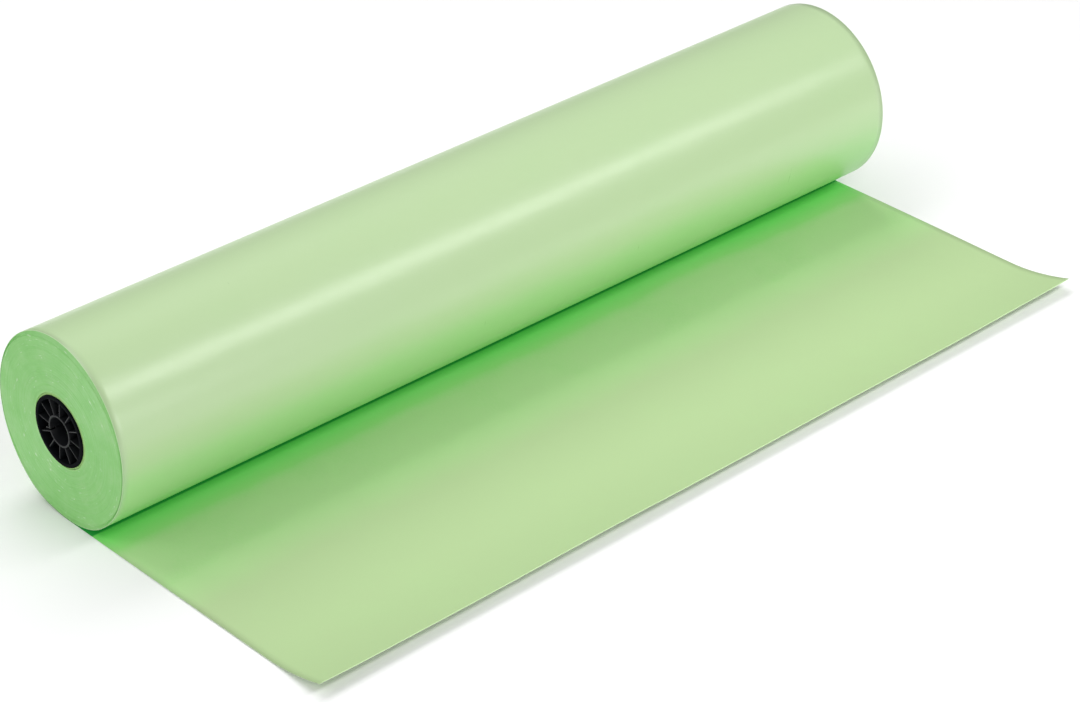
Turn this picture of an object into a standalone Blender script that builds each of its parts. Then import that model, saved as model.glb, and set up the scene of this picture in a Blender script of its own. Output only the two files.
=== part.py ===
"""A roll of coloured backdrop paper lying on the floor with its first length drawn out.

The roll's axis runs along X at half the roll's height. The drawn-out tail lies on the floor
(z = 0) and runs towards -Y, and x = 0 is the middle of the web. Metres, +Z up.
"""

import math

import bmesh
import bpy
from mathutils import Matrix

# ---------------------------------------------------------------- driving dimensions (metres)
WEB_WIDTH = 0.9144  # 36 inch web
ROLL_RADIUS = 0.0889  # 7 inch roll
CORE_BORE_RADIUS = 0.03175  # 2.5 inch core
PLUG_BORE_RADIUS = 0.0129  # takes a 1 inch bar
TAIL_REACH = 0.329  # from the line of contact to the free edge

# Paper. A real sheet is 0.07 mm thick; the solids are thicker so that they can carry contact.
SHEET = 0.0003
GAP = 0.0003  # between neighbouring pieces
FACET_CLEAR = 0.0001  # room for the flats of a faceted circle

# Drawn-out tail
FOOT = 0.045  # the tail runs this far behind the line of contact, so that the roll stands steadily
CURL_LENGTH = 0.075  # part of the tail that keeps some of its curl
CURL_LIFT = 0.009  # how high the free edge stands
CURL_STEPS = 8

# Outer turn, slightly loose low on the side of the tail. Angles about the axis run from 0 at the
# back (+Y) through 90 at the top and 180 at the front, above the tail, to 270 at the nip.
NIP_DEGREES = 270.0
TURN_SLIT_DEGREES = 9.0  # left open at the nip, where the web passes into the roll
TURN_STEPS = 96
LOOSE_RISE = 0.0026
LOOSE_CENTRE_DEGREES = 218.0
LOOSE_HALF_SPREAD_DEGREES = 42.0

# Spirally wound paperboard core
PLY = 0.0006
PLY_COUNT = 3
PLY_STRIP_PITCH = 0.190  # axial length of one turn of a ply's strip
PLY_SEAM = 0.0012  # butt joint between neighbouring turns of the strip
PLY_STEPS = 36

# Tape that holds the first turn of paper to the core
TAPE = 0.0002
TAPE_CLEAR = 0.00015
TAPE_STEPS = 3  # of PLY_STEPS, so the tape follows the core's facets

WOUND_STEPS = 96

# Core plug: one moulding with a flange, a barrel, a web, a hub and ribs
FLANGE_RADIUS = 0.0326
FLANGE = 0.0015
BARREL_CLEAR = 0.0003
BARREL_WALL = 0.0018
BARREL_DEPTH = 0.038
BARREL_TAPER = 0.0004
GRIP_RIB = 0.0004  # height of the fine ribs that bite into the core
GRIP_RIB_WIDTH = 0.0012
GRIP_RIB_LENGTH = 0.027
GRIP_RIB_START = 0.001
GRIP_RIB_COUNT = 8
HUB_WALL = 0.0019
HUB_DEPTH = 0.030
HUB_RECESS = 0.0006  # below the flange's face
PLUG_WEB = 0.0015
PLUG_WEB_DEPTH = 0.018
RIB_COUNT = 12
RIB_WIDTH = 0.0014
RIB_RECESS = 0.0012
RIB_BITE = 0.0008  # how far a rib runs into the hub and the barrel
RIB_PHASE_DEGREES = 23.0
KEYWAY_WIDTH = 0.0016
KEYWAY_DEPTH = 0.006
KEYWAY_DEGREES = 106.8  # just beside a rib
KEY_GUIDE_LENGTH = 0.006
KEY_GUIDE_WALL = 0.001
KEY_GUIDE_CLEAR = 0.0001
PLUG_STEPS = 48
CHAMFER = 0.0003

# ---------------------------------------------------------------- derived dimensions
AXIS_HEIGHT = SHEET + GAP + ROLL_RADIUS
TURN_INNER_RADIUS = ROLL_RADIUS - SHEET
WOUND_RADIUS = TURN_INNER_RADIUS - GAP - FACET_CLEAR
CORE_RADIUS = CORE_BORE_RADIUS + PLY_COUNT * PLY + (PLY_COUNT - 1) * GAP
WOUND_BORE_RADIUS = CORE_RADIUS + 2 * TAPE_CLEAR + TAPE + FACET_CLEAR
BARREL_RADIUS = CORE_BORE_RADIUS - BARREL_CLEAR - GRIP_RIB
HUB_RADIUS = PLUG_BORE_RADIUS + HUB_WALL
HALF_WIDTH = WEB_WIDTH / 2

# ---------------------------------------------------------------- colours: colour, roughness, metallic
PAPER_MATTE = ((0.49, 0.74, 0.37), 0.85, 0.0)
PAPER_GLAZED = ((0.56, 0.77, 0.45), 0.55, 0.0)
BOARD = ((0.52, 0.44, 0.33), 0.9, 0.0)
TAPE_WHITE = ((0.85, 0.84, 0.78), 0.6, 0.0)
PLUG_BLACK = ((0.012, 0.013, 0.014), 0.45, 0.0)

# A curve drawn in its own XY plane, or a shape turned about its own Z, is laid along X by one of these.
OUTLINE_TO_YZ = (math.pi / 2, 0.0, math.pi / 2)
AXIS_TO_PLUS_X = (0.0, math.pi / 2, 0.0)
AXIS_TO_MINUS_X = (0.0, -math.pi / 2, 0.0)


def clear_scene():
    for obj in list(bpy.data.objects):
        bpy.data.objects.remove(obj)


def new_collection(name):
    collection = bpy.data.collections.new(name)
    bpy.context.scene.collection.children.link(collection)
    return collection


def material(name, look):
    colour, roughness, metallic = look
    made = bpy.data.materials.new(name)
    made.use_nodes = True
    shader = made.node_tree.nodes["Principled BSDF"]
    shader.inputs["Base Color"].default_value = (*colour, 1.0)
    shader.inputs["Roughness"].default_value = roughness
    shader.inputs["Metallic"].default_value = metallic
    return made


def place(obj, collection, parent, rotation, location=(0.0, 0.0, 0.0), finish=None):
    """Links obj, and sets it down in its parent's space."""
    collection.objects.link(obj)
    obj.parent = parent
    obj.rotation_euler = rotation
    obj.location = location
    if finish is not None:
        obj.data.materials.append(finish)
    return obj


def empty(name, collection, location=(0.0, 0.0, 0.0), parent=None):
    made = bpy.data.objects.new(name, None)
    made.empty_display_size = 0.05
    collection.objects.link(made)
    made.location = location
    made.parent = parent
    return made


def outline_object(name, points, length):
    """A closed outline in the local XY plane, extruded along local Z, centred."""
    curve = bpy.data.curves.new(name, "CURVE")
    curve.dimensions = "2D"
    curve.fill_mode = "BOTH"
    curve.extrude = length / 2
    spline = curve.splines.new("POLY")
    spline.points.add(len(points) - 1)
    for point, (x, y) in zip(spline.points, points):
        point.co = (x, y, 0.0, 1.0)
    spline.use_cyclic_u = True
    return bpy.data.objects.new(name, curve)


def profile_mesh(name, points, closed):
    """Edges through (radius, height) points, for a Screw modifier about local Z."""
    mesh = bpy.data.meshes.new(name)
    vertices = [(radius, 0.0, height) for radius, height in points]
    edges = [(i, i + 1) for i in range(len(points) - 1)]
    if closed:
        edges.append((len(points) - 1, 0))
    mesh.from_pydata(vertices, edges, [])
    return mesh


def screw(obj, steps, offset=0.0, turns=1):
    modifier = obj.modifiers.new("Turn", "SCREW")
    modifier.axis = "Z"
    modifier.angle = math.tau
    modifier.steps = steps
    modifier.render_steps = steps
    modifier.screw_offset = offset
    modifier.iterations = turns
    modifier.use_merge_vertices = True
    modifier.merge_threshold = 0.00001
    modifier.use_smooth_shade = True
    return modifier


def boolean(obj, other, operation):
    modifier = obj.modifiers.new(operation.title(), "BOOLEAN")
    modifier.operation = operation
    modifier.object = other
    return modifier


def arc(radius, start_degrees, end_degrees, steps):
    """Points on a circle about the origin, first and last included. radius may depend on the angle."""
    points = []
    for i in range(steps + 1):
        degrees = start_degrees + (end_degrees - start_degrees) * i / steps
        r = radius(degrees) if callable(radius) else radius
        angle = math.radians(degrees)
        points.append((r * math.cos(angle), r * math.sin(angle)))
    return points


def boxes_mesh(name, boxes):
    """One mesh of separate boxes, each (centre, size, turn about Z in degrees, taken about the origin)."""
    builder = bmesh.new()
    for centre, size, degrees in boxes:
        made = bmesh.ops.create_cube(builder, size=1.0)["verts"]
        bmesh.ops.scale(builder, vec=size, verts=made)
        bmesh.ops.translate(builder, vec=centre, verts=made)
        turn = Matrix.Rotation(math.radians(degrees), 3, "Z")
        bmesh.ops.rotate(builder, cent=(0.0, 0.0, 0.0), matrix=turn, verts=made)
    mesh = bpy.data.meshes.new(name)
    builder.to_mesh(mesh)
    builder.free()
    return mesh


# ---------------------------------------------------------------- paper
def tail_outline():
    """Side view of the tail as (y, z): flat on the floor, then an arc up to the free edge."""
    curl_radius = (CURL_LENGTH**2 + CURL_LIFT**2) / (2 * CURL_LIFT)
    sweep = math.asin(CURL_LENGTH / curl_radius)
    bend = -(TAIL_REACH - CURL_LENGTH)
    under, over = [], []
    for i in range(CURL_STEPS + 1):
        angle = sweep * i / CURL_STEPS
        under.append((bend - curl_radius * math.sin(angle), curl_radius * (1 - math.cos(angle))))
        inner = curl_radius - SHEET
        over.append((bend - inner * math.sin(angle), curl_radius - inner * math.cos(angle)))
    return [(FOOT, 0.0), *under, *reversed(over), (FOOT, SHEET)]


def loose(degrees):
    """How far the outer turn stands off the roll at this angle."""
    away = abs(degrees - LOOSE_CENTRE_DEGREES)
    if away >= LOOSE_HALF_SPREAD_DEGREES:
        return 0.0
    return LOOSE_RISE * 0.5 * (1 + math.cos(math.pi * away / LOOSE_HALF_SPREAD_DEGREES))


def turn_outline():
    """End view of the outer turn, about the roll's axis: from the nip round the back and over the top."""
    start, end = NIP_DEGREES - 360.0, NIP_DEGREES - TURN_SLIT_DEGREES
    outer = arc(lambda a: ROLL_RADIUS + loose(a), start, end, TURN_STEPS)
    inner = arc(lambda a: TURN_INNER_RADIUS + loose(a), start, end, TURN_STEPS)
    return outer + inner[::-1]


def tube_profile(inner, outer, half_length):
    return [(inner, half_length), (outer, half_length), (outer, -half_length), (inner, -half_length)]


def make_paper(parts, tail_frame, turn_frame, roll_frame):
    matte = material("paper_matte_side", PAPER_MATTE)
    glazed = material("paper_glazed_side", PAPER_GLAZED)
    tail = outline_object("paper_tail", tail_outline(), WEB_WIDTH)
    place(tail, parts, tail_frame, OUTLINE_TO_YZ, finish=matte)
    turn = outline_object("outer_turn", turn_outline(), WEB_WIDTH)
    place(turn, parts, turn_frame, OUTLINE_TO_YZ, finish=glazed)
    profile = tube_profile(WOUND_BORE_RADIUS, WOUND_RADIUS, HALF_WIDTH)
    wound = bpy.data.objects.new("wound_paper", profile_mesh("wound_paper", profile, True))
    screw(wound, WOUND_STEPS)
    place(wound, parts, roll_frame, AXIS_TO_PLUS_X, finish=matte)


# ---------------------------------------------------------------- core
def make_ply(name, index, parts, trim, roll_frame, finish):
    """A strip of board wound in a helix with its edges butted, cut flush at both ends."""
    radius = CORE_BORE_RADIUS + (index + 1) * PLY + index * GAP
    turns = math.ceil(WEB_WIDTH / PLY_STRIP_PITCH) + 2
    first = -HALF_WIDTH - PLY_STRIP_PITCH * (1 + index / PLY_COUNT)
    strip = [(radius, first + PLY_STRIP_PITCH - PLY_SEAM), (radius, first)]
    ply = bpy.data.objects.new(name, profile_mesh(name, strip, False))
    screw(ply, PLY_STEPS, offset=PLY_STRIP_PITCH, turns=turns)
    wall = ply.modifiers.new("Board", "SOLIDIFY")
    wall.thickness = PLY
    wall.offset = -1.0
    wall.use_even_offset = True
    boolean(ply, trim, "INTERSECT")
    place(ply, parts, roll_frame, AXIS_TO_PLUS_X, finish=finish)


def make_core(parts, cutters, roll_frame):
    board = material("core_board", BOARD)
    trim_mesh = boxes_mesh("core_trim", [((0, 0, 0), (4 * CORE_RADIUS, 4 * CORE_RADIUS, WEB_WIDTH), 0)])
    trim = bpy.data.objects.new("core_trim", trim_mesh)
    place(trim, cutters, roll_frame, AXIS_TO_PLUS_X)
    hide(trim)
    for index, name in enumerate(("core_inner_ply", "core_middle_ply", "core_outer_ply")):
        make_ply(name, index, parts, trim, roll_frame, board)


def make_start_tape(parts, roll_frame):
    """A strip of tape along the core, under the first turn of paper."""
    step = 360.0 / PLY_STEPS
    inner_radius = CORE_RADIUS + TAPE_CLEAR
    inner = arc(inner_radius, 0.0, TAPE_STEPS * step, TAPE_STEPS)
    outer = arc(inner_radius + TAPE, 0.0, TAPE_STEPS * step, TAPE_STEPS)
    tape = outline_object("start_tape", outer + inner[::-1], WEB_WIDTH - 2 * GAP)
    place(tape, parts, roll_frame, OUTLINE_TO_YZ, finish=material("tape", TAPE_WHITE))


# ---------------------------------------------------------------- core plugs
def plug_profile():
    """(radius, height) round the plug's wall. Height 0 is the core's end, and the flange stands above it."""
    face = GAP + FLANGE
    barrel_inner = BARREL_RADIUS - BARREL_WALL
    tip = BARREL_RADIUS - BARREL_TAPER
    hub_top = face - HUB_RECESS
    return [
        (barrel_inner, face - CHAMFER),
        (barrel_inner + CHAMFER, face),
        (FLANGE_RADIUS - CHAMFER, face),
        (FLANGE_RADIUS, face - CHAMFER),
        (FLANGE_RADIUS, GAP),
        (BARREL_RADIUS, GAP),
        (tip, CHAMFER - BARREL_DEPTH),
        (tip - CHAMFER, -BARREL_DEPTH),
        (tip - BARREL_WALL, -BARREL_DEPTH),
        (barrel_inner, -PLUG_WEB_DEPTH - PLUG_WEB),
        (HUB_RADIUS, -PLUG_WEB_DEPTH - PLUG_WEB),
        (HUB_RADIUS, -HUB_DEPTH),
        (PLUG_BORE_RADIUS, -HUB_DEPTH),
        (PLUG_BORE_RADIUS, hub_top - CHAMFER),
        (PLUG_BORE_RADIUS + CHAMFER, hub_top),
        (HUB_RADIUS - CHAMFER, hub_top),
        (HUB_RADIUS, hub_top - CHAMFER),
        (HUB_RADIUS, -PLUG_WEB_DEPTH),
        (barrel_inner, -PLUG_WEB_DEPTH),
    ]


def plug_ribs():
    """The ribs between hub and barrel, the grip ribs outside the barrel and the wall beside the keyway."""
    face = GAP + FLANGE
    inner = HUB_RADIUS - RIB_BITE
    outer = BARREL_RADIUS - BARREL_WALL + RIB_BITE
    top = face - RIB_RECESS
    bottom = -PLUG_WEB_DEPTH - PLUG_WEB / 2
    rib = ((inner + outer) / 2, 0.0, (top + bottom) / 2), (outer - inner, RIB_WIDTH, top - bottom)
    boxes = [(*rib, RIB_PHASE_DEGREES + 360.0 * i / RIB_COUNT) for i in range(RIB_COUNT)]
    grip_inner = BARREL_RADIUS - BARREL_TAPER - RIB_BITE
    grip_outer = BARREL_RADIUS + GRIP_RIB
    grip = (
        ((grip_inner + grip_outer) / 2, 0.0, -GRIP_RIB_START - GRIP_RIB_LENGTH / 2),
        (grip_outer - grip_inner, GRIP_RIB_WIDTH, GRIP_RIB_LENGTH),
    )
    offset = RIB_PHASE_DEGREES + 180.0 / RIB_COUNT
    boxes += [(*grip, offset + 360.0 * i / GRIP_RIB_COUNT) for i in range(GRIP_RIB_COUNT)]
    guide_side = -(KEYWAY_WIDTH + KEY_GUIDE_WALL) / 2 - KEY_GUIDE_CLEAR
    guide_size = (KEY_GUIDE_LENGTH, KEY_GUIDE_WALL, top - bottom)
    boxes.append(((inner + KEY_GUIDE_LENGTH / 2, guide_side, (top + bottom) / 2), guide_size, KEYWAY_DEGREES))
    return boxes


def plug_keyway():
    """Cutter for the slot in the hub's mouth."""
    top = GAP + FLANGE
    radius = PLUG_BORE_RADIUS + HUB_WALL / 2
    size = (HUB_WALL * 2, KEYWAY_WIDTH, 2 * KEYWAY_DEPTH)
    return [((radius, 0.0, top), size, KEYWAY_DEGREES)]


def hide(cutter):
    cutter.hide_render = True
    cutter.display_type = "WIRE"


def make_plugs(parts, cutters, roll_frame):
    black = material("plug_plastic", PLUG_BLACK)
    body = profile_mesh("core_plug", plug_profile(), True)
    ribs = boxes_mesh("plug_ribs", plug_ribs())
    keyway = boxes_mesh("plug_keyway", plug_keyway())
    for side, x, rotation in (
        ("left", -HALF_WIDTH, AXIS_TO_MINUS_X),
        ("right", HALF_WIDTH, AXIS_TO_PLUS_X),
    ):
        frame = empty(f"{side}_plug_slide", parts, (x, 0.0, 0.0), roll_frame)
        plug = bpy.data.objects.new(f"{side}_core_plug", body.copy())
        screw(plug, PLUG_STEPS)
        place(plug, parts, frame, rotation, finish=black)
        for name, mesh, operation in (("ribs", ribs, "UNION"), ("keyway", keyway, "DIFFERENCE")):
            cutter = bpy.data.objects.new(f"{side}_plug_{name}", mesh)
            place(cutter, cutters, frame, rotation)
            hide(cutter)
            boolean(plug, cutter, operation)


def main():
    clear_scene()
    parts = new_collection("backdrop_paper_roll")
    cutters = new_collection("cutters")
    tail_frame = empty("tail_on_floor", parts)
    turn_frame = empty("unroll_slide", parts, (0.0, 0.0, AXIS_HEIGHT), tail_frame)
    roll_frame = empty("roll_spin", parts, (0.0, 0.0, 0.0), turn_frame)
    make_paper(parts, tail_frame, turn_frame, roll_frame)
    make_core(parts, cutters, roll_frame)
    make_start_tape(parts, roll_frame)
    make_plugs(parts, cutters, roll_frame)


main()
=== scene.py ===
"""Looks of the backdrop paper roll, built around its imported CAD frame. Metres, +Z up.

The web is one continuous sheet of duo-finish craft paper. Its glazed side faces out on the roll and down
on the floor, and its matte side is the one seen on the drawn-out tail. The near end is at -X.

Angles about the roll's axis run from 0 at the back (+Y) through 90 at the top and 180 at the front, above
the tail, to 270 at the nip, where the web leaves the roll.
"""

import math

import bmesh
import bpy
import numpy as np
from mathutils import Euler, Matrix, Vector


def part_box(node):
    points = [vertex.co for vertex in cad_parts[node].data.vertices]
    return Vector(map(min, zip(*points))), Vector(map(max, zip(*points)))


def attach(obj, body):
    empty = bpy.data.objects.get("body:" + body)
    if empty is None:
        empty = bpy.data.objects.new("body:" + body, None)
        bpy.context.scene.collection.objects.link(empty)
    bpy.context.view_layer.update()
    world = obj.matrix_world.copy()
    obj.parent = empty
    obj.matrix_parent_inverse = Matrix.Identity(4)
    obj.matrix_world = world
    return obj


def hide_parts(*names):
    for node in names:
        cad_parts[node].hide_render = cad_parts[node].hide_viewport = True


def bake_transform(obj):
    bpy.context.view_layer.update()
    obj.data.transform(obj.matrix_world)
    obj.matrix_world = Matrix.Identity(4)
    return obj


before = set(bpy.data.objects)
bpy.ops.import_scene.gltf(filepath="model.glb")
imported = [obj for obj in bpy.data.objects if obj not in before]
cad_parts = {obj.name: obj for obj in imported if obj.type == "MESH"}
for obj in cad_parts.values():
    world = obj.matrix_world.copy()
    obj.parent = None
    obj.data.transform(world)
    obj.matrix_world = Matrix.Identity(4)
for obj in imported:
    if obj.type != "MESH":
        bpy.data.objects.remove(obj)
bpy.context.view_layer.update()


# ---------------------------------------------------------------- sizes read from the frame
def node_radius(node):
    low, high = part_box(node)
    return (high.z - low.z) / 2


CAD_PLY = 0.0006  # thickness of a ply in the frame

wound_low, wound_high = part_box("wound_paper")
turn_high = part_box("outer_turn")[1]
tail_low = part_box("paper_tail")[0]
plug_low, plug_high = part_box("left_core_plug")

HALF_WIDTH = wound_high.x
AXIS_HEIGHT = (wound_low.z + wound_high.z) / 2
ROLL_RADIUS = turn_high.z - AXIS_HEIGHT
FAR_REACH = -tail_low.y  # of the tail, from the nip to the free edge
FLANGE_RADIUS = node_radius("left_core_plug")
FLANGE_FACE = -plug_low.x - HALF_WIDTH
PLUG_DEPTH = HALF_WIDTH + plug_high.x
CORE_RADIUS = node_radius("core_outer_ply")
CORE_BORE_RADIUS = node_radius("core_inner_ply") - CAD_PLY

# ---------------------------------------------------------------- the web
SHEET = 0.0002
ACROSS_STEPS = 116
TAIL_STEPS = 176
TURN_STEPS = 176
NIP_DEGREES = 270.0
NIP_START_DEGREES = NIP_DEGREES - 360.0  # the same place, counted as the start of the outer turn
TURN_END_DEGREES = 267.0
RUN_IN_DEGREES = 70.0  # over which the web rises from the floor to the roll

# ---------------------------------------------------------------- the outer turns, out of round
OVAL_NEAR = 0.0030  # how far out of round the stored roll lies at its near end
OVAL_FAR = 0.0008
OVAL_DEGREES = 107.0  # where it stands out most
REST_DEGREES = 268.0  # where it rests on the floor, as a round roll would
REST_FLAT_DEGREES = 8.0
REST_BLEND_DEGREES = 30.0
LOOSE_TURNS = 6  # bands of turns just beneath the outer one, which lie out of round with it
LOOSE_TURNS_DEPTH = 0.0040
LOOSE_GROOVE = 0.0002
LOOSE_STEPS = 240
LAYER_CLEAR = 0.00005
OUTER_RIM_HIGHLIGHT = 0.8  # how strong the painted highlight is on the rim of the outermost loose turn
INNER_RIM_HIGHLIGHT = 0.6  # and that on the innermost, low at the front
INNER_RIM_HIGHLIGHT_AT = math.radians(215.0)

# ---------------------------------------------------------------- the tail
EDGE_SKEW = 0.004  # how much further out the free edge is at the near side
NEAR_REACH = FAR_REACH + EDGE_SKEW
EDGE_LIFT = 0.0100  # of the free edge
EDGE_CURL = 0.070  # length of the tail that rises to it
CURL_WANDER = 0.12  # share of the lift that varies across the web
CURL_WAVES = 7.0  # per metre
CURL_SEED = 3.0
NEAR_CORNER = (0.0015, 0.060, 0.060)  # lift, reach along the free edge, reach along the side
FAR_CORNER = (0.0010, 0.036, 0.060)
CORNER_POWER = 1.8
RIPPLE = 0.0007
RIPPLE_WAVES = (9.0, 12.0)  # per metre, across and along the tail
RIPPLE_SEED = 5.0
RIPPLE_START = 0.02  # from the nip
RIPPLE_GROWTH = 0.08
RIPPLE_EDGE = 0.3  # how far up its fade the ripple is at the free edge itself
RIPPLE_EDGE_FADE = 0.05

# ---------------------------------------------------------------- painted shade on the paper
SHADED_DEPTH = 0.4  # how deep the painted shade's green is in the roll's shade: 0 is the open sheet, 1 the nip
SHADE_END = 0.185  # from the nip, where the roll's shade on the tail ends
SHADE_BLUR = 0.055
SHADE_WANDER = 0.006
SHADE_WAVES = (7.0, 8.0)  # per metre, across and along the tail
SHADE_SLANT = 9.0  # how fast those waves shift sideways along the tail
SHADE_SEED = 8.0
NIP_SHADE_START = 0.030  # and where the painted deep green shade of the nip begins to fade
NIP_SHADE_END = 0.085
NIP_SHADE_POWER = 1.4
FRONT_SHADE = (160.0, 42.0)  # degrees round the roll: where a step of painted shade begins, and over how many it grows
LOW_SHADE = (214.0, 50.0)
BACK_SHADE = (20.0, 70.0)

# ---------------------------------------------------------------- wound ends
END_RINGS = 150
END_STEPS = 240
END_SEEDS = ((-1, 21), (1, 34))  # side and seed
END_CREASE = math.radians(50)  # edges sharper than this stay sharp
CORE_CLEAR = 0.0004
LAYER_BAND = 0.0011  # a bundle of turns that were wound alike
BAND_SHIFT = 0.00016
BAND_DETAIL = 0.4  # share and rate of the finer bands within
BAND_DETAIL_RATE = 2.7
DISH = 0.00022
DISH_WAVES = 2.3
NICKS = 22
NICK_DEPTH = 0.0004
NICK_FROM_CORE = 0.008
NICK_FROM_RIM = 0.004
NICK_LENGTHS = (0.0025, 0.007)
NICK_WIDTHS = (0.0006, 0.0014)
NICK_STRENGTHS = (0.4, 1.0)

# ---------------------------------------------------------------- core
PLIES = (("inner_ply", "core_inner_ply"), ("middle_ply", "core_middle_ply"), ("outer_ply", "core_outer_ply"))
PLY_CLEAR = 0.00006
PLY_PITCH = 0.190
PLY_SEAM = 0.0009
PLY_STEPS = 96

# ---------------------------------------------------------------- plug
PLUG_STEPS = 144
PLUG_CREASE = math.radians(32)
PLUG_BORE_RADIUS = 0.0129
HUB_RADIUS = 0.0148
HUB_DEPTH = 0.030
HUB_RECESS = 0.0006
BARREL_INNER = 0.02925
BARREL_RADIUS = 0.03105
BARREL_TAPER = 0.0004
BARREL_DRAFT = 0.0002  # how much the inside narrows with depth
BARREL_TIP_INSET = 0.0010
BARREL_TIP = 0.0008  # length of the lead-in at the barrel's end
FLANGE = 0.0015
PLUG_WEB = 0.0015
PLUG_WEB_DEPTH = 0.018
EDGE_ROUND = 0.0003
BOX_ROUND = 0.0002
RIB_COUNT = 12
RIB_WIDTH = 0.0011
RIB_RECESS = 0.0010
RIB_BITE = 0.0008
RIB_PHASE_DEGREES = 23.0
KEYWAY_WIDTH = 0.0016
KEYWAY_DEPTH = 0.006
KEYWAY_DEGREES = 106.8
KEYWAY_INTO_BORE = 0.001
KEYWAY_PAST_HUB = 0.0008
KEYWAY_ABOVE = 0.002
KEY_GUIDE_LENGTH = 0.006
KEY_GUIDE_WALL = 0.001
KEY_GUIDE_GAP = 0.0001
KEY_GUIDE_RISE = 0.0002  # over the ribs
GRIP_RIB_COUNT = 8
GRIP_RIB_WIDTH = 0.0012
GRIP_RIB_LENGTH = 0.027
GRIP_RIB_START = 0.001  # from the core's end
GRIP_RIB_ROOT = 0.0012  # inside the barrel's wall
GRIP_RIB_RISE = 0.0004

# ---------------------------------------------------------------- camera, lights and floor
CAMERA_PLACE = (-1.7057, -1.9478, 1.5497)
CAMERA_YAW = 42.568  # degrees
CAMERA_PITCH = 31.298
CAMERA_ROLL = -0.331
CAMERA_LENS = 108.80  # millimetres
CAMERA_SENSOR = 36.0
WORLD_STRENGTH = 0.29
LIGHTS = (  # name, place, target, size, power in watts
    ("strip_softbox", (0.62, -1.08, 1.20), (0.62, 0.0, 0.09), (2.1, 0.36), 12.6),
    ("front_softbox", (-0.2, -2.6, 0.75), (0.0, 0.0, 0.09), (2.6, 0.8), 23.0),
    ("back_softbox", (0.1, 1.25, 2.15), (0.0, -0.1, 0.0), (2.8, 1.4), 40.0),
    ("end_softbox", (-2.04, 0.5, 1.75), (-0.46, 0.0, 0.05), (1.6, 1.4), 14.5),
)
UNREFLECTED = ("back_softbox",)  # the glazed paper shows the sheen of the others alone
FLOOR_HALF_SIZE = 12.0
FLOOR_DROP = 0.0003  # keeps the floor clear of the paper on it

# ---------------------------------------------------------------- colours and finishes
MATTE_SHADE_STOPS = (  # painted shade depth and colour, from the open sheet through the roll's painted shade to the deep painted green of the nip
    (0.0, (0.435, 0.590, 0.305)),
    (SHADED_DEPTH, (0.450, 0.715, 0.320)),
    (0.52, (0.330, 0.700, 0.230)),
    (0.7, (0.280, 0.690, 0.200)),
    (1.0, (0.180, 0.660, 0.130)),
)
# the glazed side's colours for the same painted shade, from the open top to the underside
GLAZED_SHADE_STOPS = (
    (0.0, (0.465, 0.625, 0.350)),
    (0.2, (0.430, 0.630, 0.322)),
    (SHADED_DEPTH, (0.360, 0.655, 0.262)),
    (0.7, (0.260, 0.670, 0.190)),
    (1.0, (0.120, 0.600, 0.110)),
)
GLAZED_ROUGHNESS = (0.27, 0.36)
CLOUD_DEPTH = 0.035  # how much the dye's clouds and the fibres change the depth of green
FLECK_DEPTH = 0.02
NIP_GLOW = 0.08
NIP_GLOW_COLOUR = (0.05, 1.0, 0.12, 1.0)
# painted shade: a dark line in the crease where the tail meets the roll
CREASE_SHADE_COLOUR = (0.010, 0.230, 0.035)
CREASE_SHADE_LINE = (0.0320, 0.0340)  # from the nip, where the painted dark shade line beside the roll ends
# painted highlights on the paper's rims: the tail's free edge, the roll's ends and the loose turns
RIM_HIGHLIGHT = (0.60, 0.85, 0.46)
RIM_HIGHLIGHT_SHARE = 0.8
RIM_HIGHLIGHT_WIDTH = 0.0006
CUT_COLOURS = ((0.66, 0.84, 0.53), (0.78, 0.90, 0.68))
END_STOPS = ((0.0, (0.235, 0.620, 0.160)), (0.5, (0.290, 0.670, 0.205)), (1.0, (0.385, 0.710, 0.285)))
END_NICKED = (0.72, 0.86, 0.62)
END_NICKED_SHARE = 0.75
END_ARC = 0.06  # radius at which the marks on the ends have the right length
CORE_PALE = (0.44, 0.78, 0.27)
CORE_PALE_SHARE = 0.8
CORE_HALO = 0.0022  # how far out from the core its pale ring reaches
BOARD_STOPS = ((0.25, (0.44, 0.80, 0.24)), (0.75, (0.58, 0.90, 0.36)))
BOARD_SPECKS = (0.25, 0.50, 0.14)
TAPE_STOPS = ((0.2, (0.78, 0.76, 0.66)), (0.8, (0.88, 0.87, 0.80)))
PLUG_STOPS = ((0.3, (0.003, 0.004, 0.005)), (0.75, (0.008, 0.009, 0.011)))
PLUG_ROUGHNESS = (0.42, 0.56)
PLUG_GLOSS = 0.30
FLANGE_GLOSS = 0.01
FLOOR_STOPS = ((0.0, (0.935, 0.935, 0.94)), (1.0, (0.955, 0.955, 0.96)))
FIBRES = (1400.0, 420.0, 1.0)  # per metre, across and along the web
NOISE_RANGE = (0.3, 0.7)  # most of a noise texture's values lie in here
NOISE_WIDE = (0.25, 0.75)


# ================================================================ mesh helpers
def smooth(t):
    t = np.clip(t, 0.0, 1.0)
    return t * t * (3.0 - 2.0 * t)


def hash_noise(values, seed):
    """The same pseudo-random number in -1..1 for the same whole number."""
    raw = np.sin(values * 12.9898 + seed * 78.233) * 43758.5453  # the usual factors of a sine hash
    return 2.0 * (raw - np.floor(raw)) - 1.0


def value_noise(coordinate, seed):
    """Smooth noise along one axis, in -1..1."""
    base = np.floor(coordinate)
    blend = smooth(coordinate - base)
    return hash_noise(base, seed) * (1.0 - blend) + hash_noise(base + 1.0, seed) * blend


def value_noise_2d(u, v, seed, row_shift=17.3):
    """Smooth noise over two axes: each row of it is the same noise, taken from another stretch."""
    base = np.floor(v)
    blend = smooth(v - base)
    low = value_noise(u + row_shift * base, seed)
    high = value_noise(u + row_shift * (base + 1.0), seed)
    return low * (1.0 - blend) + high * blend


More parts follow.
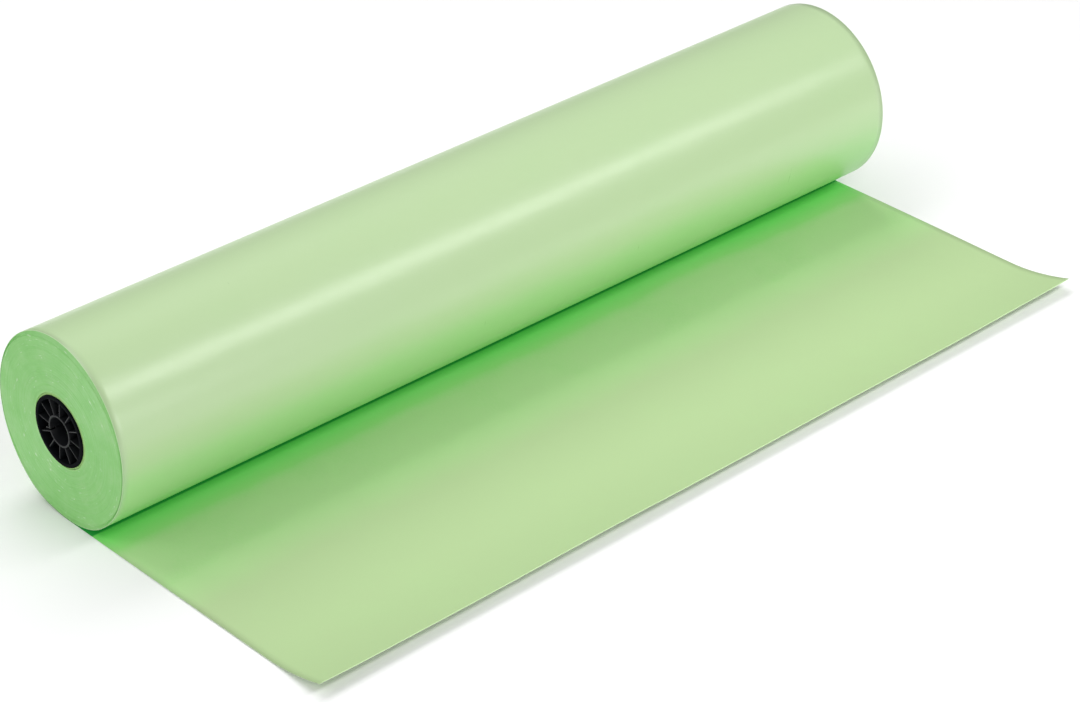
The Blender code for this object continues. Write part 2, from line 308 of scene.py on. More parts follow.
def between_ends(near, far, x):
    """A value that changes evenly from the roll's near end to its far end."""
    return near + (far - near) * (x + HALF_WIDTH) / (2 * HALF_WIDTH)


def about_axis(x, radius, angle):
    """Points round the roll's axis."""
    return np.stack([x, radius * np.cos(angle), AXIS_HEIGHT + radius * np.sin(angle)], axis=-1)


def grid_mesh(name, points, closed=False):
    """Quads through an array of points (rows, columns, 3), closed both ways or open both ways."""
    rows, columns = points.shape[:2]
    index = np.arange(rows * columns).reshape(rows, columns)
    if closed:
        index = np.vstack([index, index[:1]])
        index = np.hstack([index, index[:, :1]])
    corners = (index[:-1, :-1], index[1:, :-1], index[1:, 1:], index[:-1, 1:])
    quads = np.stack(corners, axis=-1).reshape(-1, 4)
    mesh = bpy.data.meshes.new(name)
    mesh.from_pydata(points.reshape(-1, 3).tolist(), [], quads.tolist())
    mesh.shade_smooth()
    return mesh


def ring_mesh(name, left, right):
    """A closed ring between its left and right end, each given from the inside out."""
    mesh = grid_mesh(name, np.concatenate([left[::-1], right], axis=0), closed=True)
    mesh.set_sharp_from_angle(angle=END_CREASE)
    return mesh


def built_mesh(name, builder):
    mesh = bpy.data.meshes.new(name)
    builder.to_mesh(mesh)
    builder.free()
    return mesh


def add_point_value(mesh, name, values):
    attribute = mesh.attributes.new(name, "FLOAT", "POINT")
    attribute.data.foreach_set("value", np.asarray(values, np.float32).ravel())


def add_web_map(mesh, across, along):
    """A UV map in metres: across the web, along the web."""
    layer = mesh.uv_layers.new(name="web")
    vertex = np.zeros(len(mesh.loops), np.int32)
    mesh.loops.foreach_get("vertex_index", vertex)
    uv = np.stack([across.ravel()[vertex], along.ravel()[vertex]], axis=-1)
    layer.data.foreach_set("uv", uv.astype(np.float32).ravel())


def link(name, mesh, *materials):
    obj = bpy.data.objects.new(name, mesh)
    bpy.context.scene.collection.objects.link(obj)
    for item in materials:
        obj.data.materials.append(item)
    return obj


def fit_to_frame(obj, body, slot, *nodes):
    """Lets a piece stand for CAD nodes and move with a body. The material slot it is given is not used."""
    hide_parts(*nodes)
    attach(obj, body)


# ================================================================ material helpers
class Nodes:
    """Short ways to add and join the nodes of one material."""

    def __init__(self, name):
        self.material = bpy.data.materials.new(name)
        self.material.use_nodes = True
        self.tree = self.material.node_tree
        self.shader = self.tree.nodes["Principled BSDF"]

    def join(self, source, target):
        self.tree.links.new(source, target)

    def feed(self, socket, value):
        if isinstance(value, bpy.types.NodeSocket):
            self.join(value, socket)
        else:
            socket.default_value = value

    def node(self, kind, **settings):
        made = self.tree.nodes.new(kind)
        for key, value in settings.items():
            setattr(made, key, value)
        return made

    def place(self, source="Object"):
        return self.node("ShaderNodeTexCoord").outputs[source]

    def attribute(self, name):
        return self.node("ShaderNodeAttribute", attribute_name=name).outputs["Fac"]

    def apart(self, vector):
        """The three parts of a vector."""
        made = self.node("ShaderNodeSeparateXYZ")
        self.join(vector, made.inputs[0])
        return made.outputs["X"], made.outputs["Y"], made.outputs["Z"]

    def off_axis(self, place):
        """x along the roll's axis, then y and z from it."""
        x, y, height = self.apart(place)
        return x, y, self.math("SUBTRACT", height, AXIS_HEIGHT)

    def length(self, y, z):
        square = self.math("ADD", self.math("MULTIPLY", y, y), self.math("MULTIPLY", z, z))
        return self.math("SQRT", square)

    def stretch(self, vector, scale):
        mapping = self.node("ShaderNodeMapping")
        mapping.inputs["Scale"].default_value = scale
        self.join(vector, mapping.inputs["Vector"])
        return mapping.outputs["Vector"]

    def noise(self, vector, scale, detail, roughness=0.55):
        """Noise with one scale, or with one for each axis."""
        made = self.node("ShaderNodeTexNoise")
        if isinstance(scale, tuple):
            vector = self.stretch(vector, scale)
            scale = 1.0
        self.join(vector, made.inputs["Vector"])
        made.inputs["Scale"].default_value = scale
        made.inputs["Detail"].default_value = detail
        made.inputs["Roughness"].default_value = roughness
        return made.outputs["Fac"]

    def math(self, operation, a, b=0.0, clamp=False):
        made = self.node("ShaderNodeMath", operation=operation, use_clamp=clamp)
        self.feed(made.inputs[0], a)
        self.feed(made.inputs[1], b)
        return made.outputs[0]

    def span(self, value, source, target=(0.0, 1.0)):
        """Carries one range over to another, and holds at its ends."""
        made = self.node("ShaderNodeMapRange")
        self.feed(made.inputs["Value"], value)
        made.inputs["From Min"].default_value, made.inputs["From Max"].default_value = source
        made.inputs["To Min"].default_value, made.inputs["To Max"].default_value = target
        return made.outputs["Result"]

    def ramp(self, value, stops):
        made = self.node("ShaderNodeValToRGB")
        self.join(value, made.inputs["Fac"])
        elements = made.color_ramp.elements
        while len(elements) < len(stops):
            elements.new(0.5)
        for element, (position, colour) in zip(elements, stops):
            element.position = position
            element.color = (*colour, 1.0)
        return made.outputs["Color"]

    def mix(self, share, a, b):
        made = self.node("ShaderNodeMix", data_type="RGBA")
        self.feed(made.inputs[0], share)
        for socket, value in ((made.inputs[6], a), (made.inputs[7], b)):
            self.feed(socket, (*value, 1.0) if isinstance(value, tuple) else value)
        return made.outputs[2]

    def bump(self, height, distance, strength, below=None):
        """A relief this high, on top of another where one is given."""
        made = self.node("ShaderNodeBump")
        made.inputs["Strength"].default_value = strength
        made.inputs["Distance"].default_value = distance
        self.join(height, made.inputs["Height"])
        if below is not None:
            self.join(below, made.inputs["Normal"])
        return made.outputs["Normal"]

    def around_x(self):
        """The direction round the roll, along which edges and grooves run."""
        return self.node("ShaderNodeTangent", direction_type="RADIAL", axis="X").outputs["Tangent"]

    def finish(self, colour, roughness, normal=None, **inputs):
        self.feed(self.shader.inputs["Base Color"], colour)
        self.feed(self.shader.inputs["Roughness"], roughness)
        if normal is not None:
            self.join(normal, self.shader.inputs["Normal"])
        for name, value in inputs.items():
            self.feed(self.shader.inputs[name.replace("_", " ")], value)
        return self.material


# ================================================================ materials
def shaded_paper_colour(nodes, web, stops):
    """Green stock with painted shade: a point attribute of painted shade deepens the green in the roll's
    shade and at the nip, and the dye pales and deepens in soft clouds, with fine fibres along the web.
    """
    clouds = nodes.noise(web, 9.0, detail=3.0, roughness=0.6)
    fibres = nodes.noise(web, (900.0, 160.0, 1.0), detail=3.0, roughness=0.7)
    painted_shade = nodes.attribute("painted_shade")
    cloudy = nodes.math("ADD", painted_shade, nodes.span(clouds, NOISE_RANGE, (-CLOUD_DEPTH, CLOUD_DEPTH)))
    flecks = nodes.span(fibres, NOISE_RANGE, (-FLECK_DEPTH, FLECK_DEPTH))
    return nodes.ramp(nodes.math("ADD", cloudy, flecks, clamp=True), stops)


def nip_glow(nodes):
    """Light that bounces again and again between the roll and the tail, and leaves the nip a bright green."""
    strength = nodes.span(nodes.attribute("painted_shade"), (SHADED_DEPTH, 1.0), (0.0, NIP_GLOW))
    return {"Emission_Color": NIP_GLOW_COLOUR, "Emission_Strength": strength}


def matte_paper():
    """The side seen on the tail, with painted shade that deepens its green towards the roll, a painted dark
    shade line close to the roll and a painted highlight along the free edge.
    """
    nodes = Nodes("paper_matte_side")
    web = nodes.place("UV")
    fibres = nodes.noise(web, FIBRES, detail=5.0, roughness=0.75)
    cockle = nodes.noise(web, (14.0, 9.0, 1.0), detail=2.0, roughness=0.5)
    normal = nodes.bump(fibres, 0.00004, 0.6, below=nodes.bump(cockle, 0.0012, 0.5))
    along = nodes.apart(web)[1]
    from_nip = nodes.math("MULTIPLY", along, -1.0)
    # painted shade: a dark line in the crease beside the roll
    crease_shade = nodes.span(from_nip, CREASE_SHADE_LINE, (1.0, 0.0))
    colour = nodes.mix(crease_shade, shaded_paper_colour(nodes, web, MATTE_SHADE_STOPS), CREASE_SHADE_COLOUR)
    # painted highlight along the free edge, where the paper's edge catches the light
    rim_highlight = nodes.math("MULTIPLY", nodes.attribute("edge"), RIM_HIGHLIGHT_SHARE)
    colour = nodes.mix(rim_highlight, colour, RIM_HIGHLIGHT)
    return nodes.finish(colour, 0.86, normal, Specular_IOR_Level=0.25, **nip_glow(nodes))


def glazed_paper():
    """The side seen on the roll: a soft sheen in streaks round it, painted shade that deepens its green
    towards the underside, and painted highlights on the rims at the ends.
    """
    nodes = Nodes("paper_glazed_side")
    web = nodes.place("UV")
    streaks = nodes.noise(web, (260.0, 22.0, 1.0), detail=4.0, roughness=0.6)
    cockle = nodes.noise(web, (10.0, 26.0, 1.0), detail=3.0, roughness=0.55)
    fibres = nodes.noise(web, FIBRES, detail=4.0, roughness=0.7)
    roughness = nodes.span(streaks, NOISE_WIDE, GLAZED_ROUGHNESS)
    normal = nodes.bump(fibres, 0.00002, 0.4, below=nodes.bump(cockle, 0.0010, 0.45))
    across = nodes.apart(web)[0]
    from_middle = nodes.math("ABSOLUTE", across)
    # painted highlight on the roll's rims at its ends
    rim_span = (HALF_WIDTH - RIM_HIGHLIGHT_WIDTH, HALF_WIDTH - RIM_HIGHLIGHT_WIDTH / 3)
    rim_highlight = nodes.span(from_middle, rim_span, (0.0, RIM_HIGHLIGHT_SHARE))
    colour = nodes.mix(rim_highlight, shaded_paper_colour(nodes, web, GLAZED_SHADE_STOPS), RIM_HIGHLIGHT)
    return nodes.finish(colour, roughness, normal, Specular_IOR_Level=0.75)


def cut_edge():
    nodes = Nodes("paper_cut_edge")
    tone = nodes.noise(nodes.place(), 160.0, detail=3.0)
    return nodes.finish(nodes.mix(tone, *CUT_COLOURS), 0.8, Specular_IOR_Level=0.3)


def wound_edges():
    """The ends of the roll: hundreds of sheet edges in faint rings, a few of them knocked in and pale, with
    painted highlights on the rims of the loose turns.
    """
    nodes = Nodes("paper_wound_edges")
    place = nodes.place()
    x, y, z = nodes.off_axis(place)
    radius = nodes.length(y, z)
    polar = nodes.node("ShaderNodeCombineXYZ")
    nodes.join(radius, polar.inputs["X"])
    nodes.join(nodes.math("MULTIPLY", nodes.math("ARCTAN2", z, y), END_ARC), polar.inputs["Y"])
    nodes.join(x, polar.inputs["Z"])
    polar = polar.outputs[0]

    rings = nodes.noise(polar, (620.0, 10.0, 1.0), detail=4.0, roughness=0.65)
    sheets = nodes.noise(polar, (5200.0, 30.0, 1.0), detail=2.0, roughness=0.6)
    nick_field = nodes.noise(polar, (460.0, 110.0, 1.0), detail=3.0, roughness=0.5)
    clouds = nodes.noise(place, 55.0, detail=4.0, roughness=0.65)

    ring_tone = nodes.span(rings, NOISE_WIDE, (0.0, 0.45))
    cloud_tone = nodes.span(clouds, NOISE_RANGE, (0.0, 0.55))
    colour = nodes.ramp(nodes.math("ADD", ring_tone, cloud_tone), END_STOPS)
    nicks = nodes.span(nick_field, (0.66, 0.74))
    colour = nodes.mix(nodes.math("MULTIPLY", nicks, END_NICKED_SHARE), colour, END_NICKED)
    # painted highlights on the rims of the loose turns
    colour = nodes.mix(nodes.attribute("rim_highlights"), colour, RIM_HIGHLIGHT)
    beside_core = nodes.span(radius, (CORE_RADIUS + CORE_HALO, CORE_RADIUS), (0.0, CORE_PALE_SHARE))
    colour = nodes.mix(beside_core, colour, CORE_PALE)

    normal = nodes.bump(rings, 0.00014, 0.5, below=nodes.bump(sheets, 0.00005, 0.5))
    sheen = {"Specular_IOR_Level": 0.6, "Anisotropic": 0.85, "Tangent": nodes.around_x()}
    return nodes.finish(colour, 0.48, normal, **sheen)


def core_board():
    nodes = Nodes("core_board")
    place = nodes.place()
    fibres = nodes.noise(place, (60.0, 420.0, 420.0), detail=5.0, roughness=0.7)
    specks = nodes.noise(place, 700.0, detail=2.0)
    colour = nodes.ramp(fibres, BOARD_STOPS)
    colour = nodes.mix(nodes.span(specks, (0.66, 0.72), (0.0, 0.4)), colour, BOARD_SPECKS)
    return nodes.finish(colour, 0.9, nodes.bump(fibres, 0.00008, 0.6), Specular_IOR_Level=0.2)


def paper_tape():
    nodes = Nodes("start_tape")
    crepe = nodes.noise(nodes.place(), (40.0, 900.0, 900.0), detail=3.0)
    return nodes.finish(nodes.ramp(crepe, TAPE_STOPS), 0.6, nodes.bump(crepe, 0.00005, 0.5))


def plug_plastic():
    """Black moulding with a fine grain: the flange round the ribs is duller than they are."""
    nodes = Nodes("plug_plastic")
    place = nodes.place()
    _, y, z = nodes.off_axis(place)
    grain = nodes.noise(place, 2400.0, detail=3.0, roughness=0.6)
    bloom = nodes.noise(place, 60.0, detail=4.0, roughness=0.6)
    colour = nodes.ramp(bloom, PLUG_STOPS)
    roughness = nodes.span(bloom, NOISE_RANGE, PLUG_ROUGHNESS)
    flange_span = (BARREL_INNER - EDGE_ROUND, BARREL_INNER)
    gloss = nodes.span(nodes.length(y, z), flange_span, (PLUG_GLOSS, FLANGE_GLOSS))
    return nodes.finish(colour, roughness, nodes.bump(grain, 0.00003, 0.35), Specular_IOR_Level=gloss)


def floor_white():
    nodes = Nodes("studio_floor")
    tone = nodes.noise(nodes.place(), 3.0, detail=2.0)
    return nodes.finish(nodes.ramp(tone, FLOOR_STOPS), 0.9, Specular_IOR_Level=0.0)


# ================================================================ the web
def oval(degrees, x):
    """How far the outer turn stands out from a circle."""
    from_rest = np.abs((degrees - REST_DEGREES + 180.0) % 360.0 - 180.0)
    free = smooth((from_rest - REST_FLAT_DEGREES) / REST_BLEND_DEGREES)
    return between_ends(OVAL_NEAR, OVAL_FAR, x) * free * np.cos(2.0 * np.radians(degrees - OVAL_DEGREES))


def reach(x):
    """How far out the free edge is."""
    return between_ends(NEAR_REACH, FAR_REACH, x)


def corner_rise(from_side, from_edge, corner):
    """A corner of the tail that curls up about a diagonal."""
    lift, edge_reach, side_reach = corner
    share = np.clip(1.0 - from_side / edge_reach - from_edge / side_reach, 0.0, 1.0)
    return lift * share**CORNER_POWER


def tail_height(x, y):
    """Height of the drawn-out tail's underside."""
    from_edge = y + reach(x)
    curl = EDGE_LIFT * np.clip(1.0 - from_edge / EDGE_CURL, 0.0, 1.0) ** 2
    curl = curl * (1.0 + CURL_WANDER * value_noise(x * CURL_WAVES, CURL_SEED))
    near = corner_rise(x + HALF_WIDTH, from_edge, NEAR_CORNER)
    far = corner_rise(HALF_WIDTH - x, from_edge, FAR_CORNER)
    waves = value_noise_2d(x * RIPPLE_WAVES[0], y * RIPPLE_WAVES[1], RIPPLE_SEED)
    ripple = RIPPLE * (0.5 + 0.5 * waves)
    away_from_nip = smooth((-y - RIPPLE_START) / RIPPLE_GROWTH)
    away_from_edge = smooth(from_edge / RIPPLE_EDGE_FADE + RIPPLE_EDGE)
    return curl + near + far + ripple * away_from_nip * away_from_edge


def tail_shade(x, y):
    """Painted shade on the tail: 1 for the deep painted green at the nip, a step for the roll's painted
    shade, and 0 in the open.
    """
    across, along = SHADE_WAVES
    wander = SHADE_WANDER * value_noise_2d(x * across + y * SHADE_SLANT, y * along, SHADE_SEED)
    distance = -y + wander
    shaded = SHADED_DEPTH * smooth((SHADE_END - distance) / SHADE_BLUR)
    close = smooth((NIP_SHADE_END - distance) / (NIP_SHADE_END - NIP_SHADE_START)) ** NIP_SHADE_POWER
    return shaded + (1.0 - SHADED_DEPTH) * close


def turn_shade(degrees):
    """Painted shade on the roll: the open top is left pale and the underside painted a deep shaded green."""
    front = SHADED_DEPTH * smooth((degrees - FRONT_SHADE[0]) / FRONT_SHADE[1])
    low = (1.0 - SHADED_DEPTH) * smooth((degrees - LOW_SHADE[0]) / LOW_SHADE[1])
    back = SHADED_DEPTH * smooth((BACK_SHADE[0] - degrees) / BACK_SHADE[1])
    return np.clip(front + low + back, 0.0, 1.0)


def turn_points(x, degrees):
    """The outer turn of the web round the roll."""
    run_in = (AXIS_HEIGHT - ROLL_RADIUS) * (1.0 - smooth((degrees - NIP_START_DEGREES) / RUN_IN_DEGREES))
    return about_axis(x, ROLL_RADIUS + run_in + oval(degrees, x), np.radians(degrees))


def thicken(web):
    """Gives a surface the paper's thickness, with its glazed, matte and cut sides."""
    paper = web.modifiers.new("Paper", "SOLIDIFY")
    paper.thickness = SHEET
    paper.offset = -1.0
    paper.material_offset = 1
    paper.material_offset_rim = 2


def make_web():
    x = np.linspace(-HALF_WIDTH, HALF_WIDTH, ACROSS_STEPS + 1)
    shares = np.linspace(0.0, 1.0, TAIL_STEPS + 1)
    degrees = np.linspace(NIP_START_DEGREES, TURN_END_DEGREES, TURN_STEPS + 1)[1:]
    tail_x, tail_share = np.meshgrid(x, shares)
    turn_x, turn_degrees = np.meshgrid(x, degrees)

    tail_y = -reach(tail_x) * (1.0 - tail_share)
    turn_length = ROLL_RADIUS * np.radians(turn_degrees - NIP_START_DEGREES)
    tail = np.stack([tail_x, tail_y, tail_height(tail_x, tail_y)], axis=-1)
    points = np.concatenate([tail, turn_points(turn_x, turn_degrees)], axis=0)
    # painted shade for the tail and the roll, stored on the points
    painted_shade = np.concatenate([tail_shade(tail_x, tail_y), turn_shade(turn_degrees)], axis=0)
    # painted highlight: 1 on the free edge's row of points
    free_edge_highlight = np.zeros(points.shape[:2])
    free_edge_highlight[0] = 1.0

    mesh = grid_mesh("paper_web", points)
    add_point_value(mesh, "painted_shade", painted_shade)
    add_point_value(mesh, "edge", free_edge_highlight)
    add_web_map(mesh, points[..., 0], np.concatenate([tail_y, turn_length], axis=0))
    web = link("paper_web", mesh, glazed_paper(), matte_paper(), cut_edge())
    thicken(web)
    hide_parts("paper_tail", "outer_turn")
    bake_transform(web)


def make_loose_turns(edges):
    """The next turns in, between the round stock and the outer turn, as bands of edges."""
    degrees = np.linspace(NIP_START_DEGREES, NIP_DEGREES, LOOSE_STEPS, endpoint=False)
    shares = np.linspace(0.0, 1.0, 2 * LOOSE_TURNS + 1)
    share, turn_degrees = np.meshgrid(shares, degrees, indexing="ij")
    angle = np.radians(turn_degrees)
    inner = ROLL_RADIUS - LOOSE_TURNS_DEPTH
    groove = np.where(np.arange(len(shares)) % 2 == 1, LOOSE_GROOVE, 0.0)[:, None]
    ends = []
    for side in (-1, 1):
        x = np.broadcast_to(side * (HALF_WIDTH - groove), share.shape)
        outer = ROLL_RADIUS - SHEET - LAYER_CLEAR + oval(turn_degrees, x)
        ends.append(about_axis(x, inner + share * (outer - inner), angle))
    mesh = ring_mesh("loose_turns", *ends)

    # painted highlights on the rims of the innermost and outermost loose turns
    rim_highlights = np.zeros_like(share)
    rim_highlights[0] = INNER_RIM_HIGHLIGHT * smooth(np.cos(angle[0] - INNER_RIM_HIGHLIGHT_AT))
    rim_highlights[-1] = OUTER_RIM_HIGHLIGHT
    add_point_value(mesh, "rim_highlights", np.concatenate([rim_highlights[::-1], rim_highlights], axis=0))
    turns = link("loose_turns", mesh, edges)
    fit_to_frame(turns, "leaving_turn", "paper_glazed", "outer_turn")


# ================================================================ the wound stock
def end_relief(radius, angle, seed):
    """How far the sheet edges stand out at one end, in bands of turns that spiral outwards."""
    band = (radius - CORE_RADIUS) / LAYER_BAND - angle / math.tau
    finer = BAND_DETAIL * value_noise(band * BAND_DETAIL_RATE, seed + 1.0)
    across = (radius - CORE_RADIUS) / (ROLL_RADIUS - CORE_RADIUS)
    dish = DISH * np.sin(math.pi * across * DISH_WAVES + seed)
    return BAND_SHIFT * (value_noise(band, seed) + finer) + dish


def nick_marks(radius, angle, seed):
    """Places where a few edges were knocked in, longer round the roll than across it."""
    random = np.random.default_rng(seed)
    total = np.zeros_like(radius)
    for _ in range(NICKS):
        at_radius = random.uniform(CORE_RADIUS + NICK_FROM_CORE, ROLL_RADIUS - NICK_FROM_RIM)
        at_angle = random.uniform(0.0, math.tau)
        length = random.uniform(*NICK_LENGTHS)
        width = random.uniform(*NICK_WIDTHS)
        turned = (angle - at_angle + math.pi) % math.tau - math.pi
        spread = (turned * at_radius / length) ** 2 + ((radius - at_radius) / width) ** 2
        total += random.uniform(*NICK_STRENGTHS) * np.exp(-spread)
    return NICK_DEPTH * total


def make_wound_stock(edges):
    inner = CORE_RADIUS + CORE_CLEAR
    outer = ROLL_RADIUS - LOOSE_TURNS_DEPTH - LAYER_CLEAR
    radii = np.linspace(inner, outer, END_RINGS + 1)
    angles = np.linspace(0.0, math.tau, END_STEPS, endpoint=False)
    radius, angle = np.meshgrid(radii, angles, indexing="ij")
    ends = []
    for side, seed in END_SEEDS:
        out = end_relief(radius, angle, seed) - nick_marks(radius, angle, seed)
        ends.append(about_axis(side * (HALF_WIDTH + out), radius, angle))
    stock = link("wound_stock", ring_mesh("wound_stock", *ends), edges)
    fit_to_frame(stock, "roll", "paper_matte", "wound_paper")


# ================================================================ the core
def cut_flush(builder):
    """Cuts a strip off where it passes the web's edges."""
    for side in (-1.0, 1.0):
        bmesh.ops.bisect_plane(
            builder,
            geom=builder.verts[:] + builder.edges[:] + builder.faces[:],
            plane_co=(side * HALF_WIDTH, 0.0, 0.0),
            plane_no=(side, 0.0, 0.0),
            clear_outer=True,
        )


def face_outwards(builder):
    bmesh.ops.recalc_face_normals(builder, faces=builder.faces)
    first = builder.faces[0]
    if first.normal.dot(first.calc_center_median() - Vector((0, 0, AXIS_HEIGHT))) < 0:
        bmesh.ops.reverse_faces(builder, faces=builder.faces)


def make_ply(name, index, board):
    """A strip of board wound in a helix, edges butted, cut flush with the web's edges."""
    wall = (CORE_RADIUS - CORE_BORE_RADIUS) / len(PLIES)
    outer = CORE_BORE_RADIUS + (index + 1) * wall
    turns = math.ceil(2 * HALF_WIDTH / PLY_PITCH) + 2
    angles = np.linspace(0.0, math.tau * turns, PLY_STEPS * turns + 1)
    across = np.array([0.0, 0.5, 1.0]) * (PLY_PITCH - PLY_SEAM)
    angle, shift = np.meshgrid(angles, across, indexing="ij")
    first = -HALF_WIDTH - PLY_PITCH * (1 + index / len(PLIES))
    x = first + PLY_PITCH * angle / math.tau + shift
    mesh = grid_mesh(name, about_axis(x, outer, angle))
    builder = bmesh.new()
    builder.from_mesh(mesh)
    cut_flush(builder)
    face_outwards(builder)
    builder.to_mesh(mesh)
    builder.free()
    mesh.shade_smooth()
    ply = link(name, mesh, board)
    thickness = ply.modifiers.new("Board", "SOLIDIFY")
    thickness.thickness = wall - PLY_CLEAR
    thickness.offset = -1.0
    return ply


def make_core():
    board = core_board()
    for index, (name, node) in enumerate(PLIES):
        fit_to_frame(make_ply(name, index, board), "roll", "core_board", node)
    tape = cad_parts["start_tape"]
    tape.data.materials.clear()
    tape.data.materials.append(paper_tape())


# ================================================================ the plugs
def plug_profile():
    """(radius, height) round the plug's wall, height 0 at the core's end."""
    face = FLANGE_FACE
    under = face - FLANGE
    hub_top = face - HUB_RECESS
    r = EDGE_ROUND
    soft = r * (1.0 - math.sqrt(0.5))
    return [
        (BARREL_INNER, face - r),
        (BARREL_INNER + soft, face - soft),
        (BARREL_INNER + r, face),
        (FLANGE_RADIUS - r, face),
        (FLANGE_RADIUS - soft, face - soft),
        (FLANGE_RADIUS, face - r),
        (FLANGE_RADIUS, under),
        (BARREL_RADIUS, under),
        (BARREL_RADIUS - BARREL_TAPER, BARREL_TIP - PLUG_DEPTH),
        (BARREL_RADIUS - BARREL_TIP_INSET, -PLUG_DEPTH),
        (BARREL_INNER - BARREL_DRAFT, -PLUG_DEPTH),
        (BARREL_INNER, -PLUG_WEB_DEPTH - PLUG_WEB),
        (HUB_RADIUS, -PLUG_WEB_DEPTH - PLUG_WEB),
        (HUB_RADIUS, -HUB_DEPTH),
        (PLUG_BORE_RADIUS, -HUB_DEPTH),
        (PLUG_BORE_RADIUS, hub_top - r),
        (PLUG_BORE_RADIUS + soft, hub_top - soft),
        (PLUG_BORE_RADIUS + r, hub_top),
        (HUB_RADIUS - r, hub_top),
        (HUB_RADIUS - soft, hub_top - soft),
        (HUB_RADIUS, hub_top - r),
        (HUB_RADIUS, -PLUG_WEB_DEPTH + r),
        (HUB_RADIUS + r, -PLUG_WEB_DEPTH),
        (BARREL_INNER - r, -PLUG_WEB_DEPTH),
        (BARREL_INNER, -PLUG_WEB_DEPTH + r),
    ]


def add_box(builder, low, high, turn, rounding=BOX_ROUND):
    """A box between two corners with its edges rounded, then turned about Z by so many degrees."""
    made = bmesh.ops.create_cube(builder, size=1.0)["verts"]
    low, high = Vector(low), Vector(high)
    bmesh.ops.scale(builder, vec=high - low, verts=made)
    bmesh.ops.translate(builder, vec=(low + high) / 2, verts=made)
    edges = list({edge for vertex in made for edge in vertex.link_edges})
    if rounding:
        bevel = {"offset": rounding, "segments": 2, "profile": 0.5, "affect": "EDGES"}
        rounded = bmesh.ops.bevel(builder, geom=edges, **bevel)
        left_over = {vertex for vertex in made if vertex.is_valid}
        made = list({vertex for face in rounded["faces"] for vertex in face.verts} | left_over)
    turned = Matrix.Rotation(math.radians(turn), 3, "Z")
    bmesh.ops.rotate(builder, cent=(0, 0, 0), matrix=turned, verts=made)


def plug_ribs_mesh():
    """The ribs between hub and barrel, the grip ribs outside it and the guide beside the keyway."""
    builder = bmesh.new()
    top = FLANGE_FACE - RIB_RECESS
    bottom = -PLUG_WEB_DEPTH - PLUG_WEB / 2
    inner = HUB_RADIUS - RIB_BITE
    outer = BARREL_INNER + RIB_BITE
    half = RIB_WIDTH / 2
    for i in range(RIB_COUNT):
        turn = RIB_PHASE_DEGREES + 360.0 * i / RIB_COUNT
        add_box(builder, (inner, -half, bottom), (outer, half, top), turn)

    grip_half = GRIP_RIB_WIDTH / 2
    grip_low = (BARREL_RADIUS - GRIP_RIB_ROOT, -grip_half, -GRIP_RIB_START - GRIP_RIB_LENGTH)
    grip_high = (BARREL_RADIUS + GRIP_RIB_RISE, grip_half, -GRIP_RIB_START)
    for i in range(GRIP_RIB_COUNT):
        turn = RIB_PHASE_DEGREES + 180.0 / RIB_COUNT + 360.0 * i / GRIP_RIB_COUNT
        add_box(builder, grip_low, grip_high, turn)

    side = -KEYWAY_WIDTH / 2 - KEY_GUIDE_GAP
    guide_low = (inner, side - KEY_GUIDE_WALL, bottom)
    guide_high = (inner + KEY_GUIDE_LENGTH, side, top + KEY_GUIDE_RISE)
    add_box(builder, guide_low, guide_high, KEYWAY_DEGREES)
    return built_mesh("plug_ribs", builder)


def keyway_mesh():
    builder = bmesh.new()
    low = (PLUG_BORE_RADIUS - KEYWAY_INTO_BORE, -KEYWAY_WIDTH / 2, FLANGE_FACE - KEYWAY_DEPTH)
    high = (HUB_RADIUS + KEYWAY_PAST_HUB, KEYWAY_WIDTH / 2, FLANGE_FACE + KEYWAY_ABOVE)
    add_box(builder, low, high, KEYWAY_DEGREES, rounding=0.0)
    return built_mesh("plug_keyway", builder)


def combine(base, other_mesh, operation):
    """base's mesh joined with or cut by another, with nothing left behind."""
    other = link("tool", other_mesh)
    modifier = base.modifiers.new(operation, "BOOLEAN")
    modifier.operation = operation
    modifier.object = other
    evaluated = base.evaluated_get(bpy.context.evaluated_depsgraph_get())
    result = bpy.data.meshes.new_from_object(evaluated)
    base.modifiers.clear()
    base.data = result
    bpy.data.objects.remove(other)


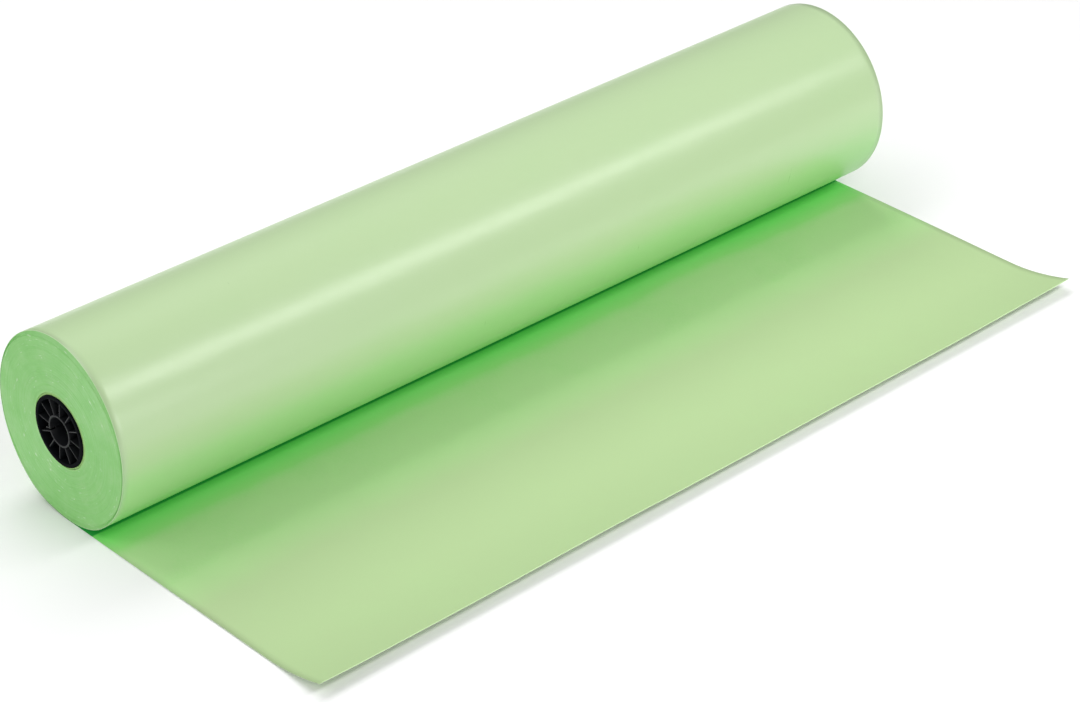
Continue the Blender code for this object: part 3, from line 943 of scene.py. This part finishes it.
def make_plug(name, side, plastic):
    profile = np.array(plug_profile())
    angles = np.linspace(0.0, math.tau, PLUG_STEPS, endpoint=False)
    radius, angle = np.meshgrid(profile[:, 0], angles, indexing="ij")
    height = np.repeat(profile[:, 1:], PLUG_STEPS, axis=1)
    points = np.stack([radius * np.cos(angle), radius * np.sin(angle), height], axis=-1)
    plug = link(name, grid_mesh(name, points, closed=True))
    combine(plug, plug_ribs_mesh(), "UNION")
    combine(plug, keyway_mesh(), "DIFFERENCE")
    plug.data.shade_smooth()
    plug.data.set_sharp_from_angle(angle=PLUG_CREASE)
    plug.data.materials.clear()
    plug.data.materials.append(plastic)
    turned = Matrix.Rotation(side * math.pi / 2, 4, "Y")
    plug.data.transform(Matrix.Translation((side * HALF_WIDTH, 0.0, AXIS_HEIGHT)) @ turned)
    return plug


# ================================================================ stage
def make_floor():
    builder = bmesh.new()
    bmesh.ops.create_grid(builder, x_segments=1, y_segments=1, size=FLOOR_HALF_SIZE)
    floor = link("studio_floor", built_mesh("studio_floor", builder), floor_white())
    floor.location.z = -FLOOR_DROP


def make_world():
    world = bpy.data.worlds.new("studio")
    world.use_nodes = True
    background = world.node_tree.nodes["Background"]
    background.inputs["Color"].default_value = (1.0, 1.0, 1.0, 1.0)
    background.inputs["Strength"].default_value = WORLD_STRENGTH
    bpy.context.scene.world = world


def area_light(name, place, target, size, power):
    data = bpy.data.lights.new(name, "AREA")
    data.shape = "RECTANGLE"
    data.size, data.size_y = size
    data.energy = power
    light = bpy.data.objects.new(name, data)
    bpy.context.scene.collection.objects.link(light)
    light.location = place
    aim = (Vector(target) - Vector(place)).to_track_quat("-Z", "Y")
    light.rotation_euler = aim.to_euler()
    light.visible_glossy = name not in UNREFLECTED


def make_camera():
    data = bpy.data.cameras.new("camera")
    data.lens = CAMERA_LENS
    data.sensor_width = CAMERA_SENSOR
    camera = bpy.data.objects.new("camera", data)
    bpy.context.scene.collection.objects.link(camera)
    turn = Euler((math.radians(90.0 - CAMERA_PITCH), 0.0, math.radians(-CAMERA_YAW))).to_matrix()
    turn = turn @ Matrix.Rotation(math.radians(CAMERA_ROLL), 3, "Z")
    camera.matrix_world = Matrix.Translation(CAMERA_PLACE) @ turn.to_4x4()
    bpy.context.scene.camera = camera


make_web()
edges = wound_edges()
make_loose_turns(edges)
make_wound_stock(edges)
make_core()
plastic = plug_plastic()
for name, side in (("left_plug", -1), ("right_plug", 1)):
    node = name.replace("_plug", "_core_plug")
    fit_to_frame(make_plug(name, side, plastic), name, "plug_plastic", node)
make_floor()
make_world()
for light in LIGHTS:
    area_light(*light)
make_camera()
bpy.context.scene.view_settings.view_transform = "Standard"
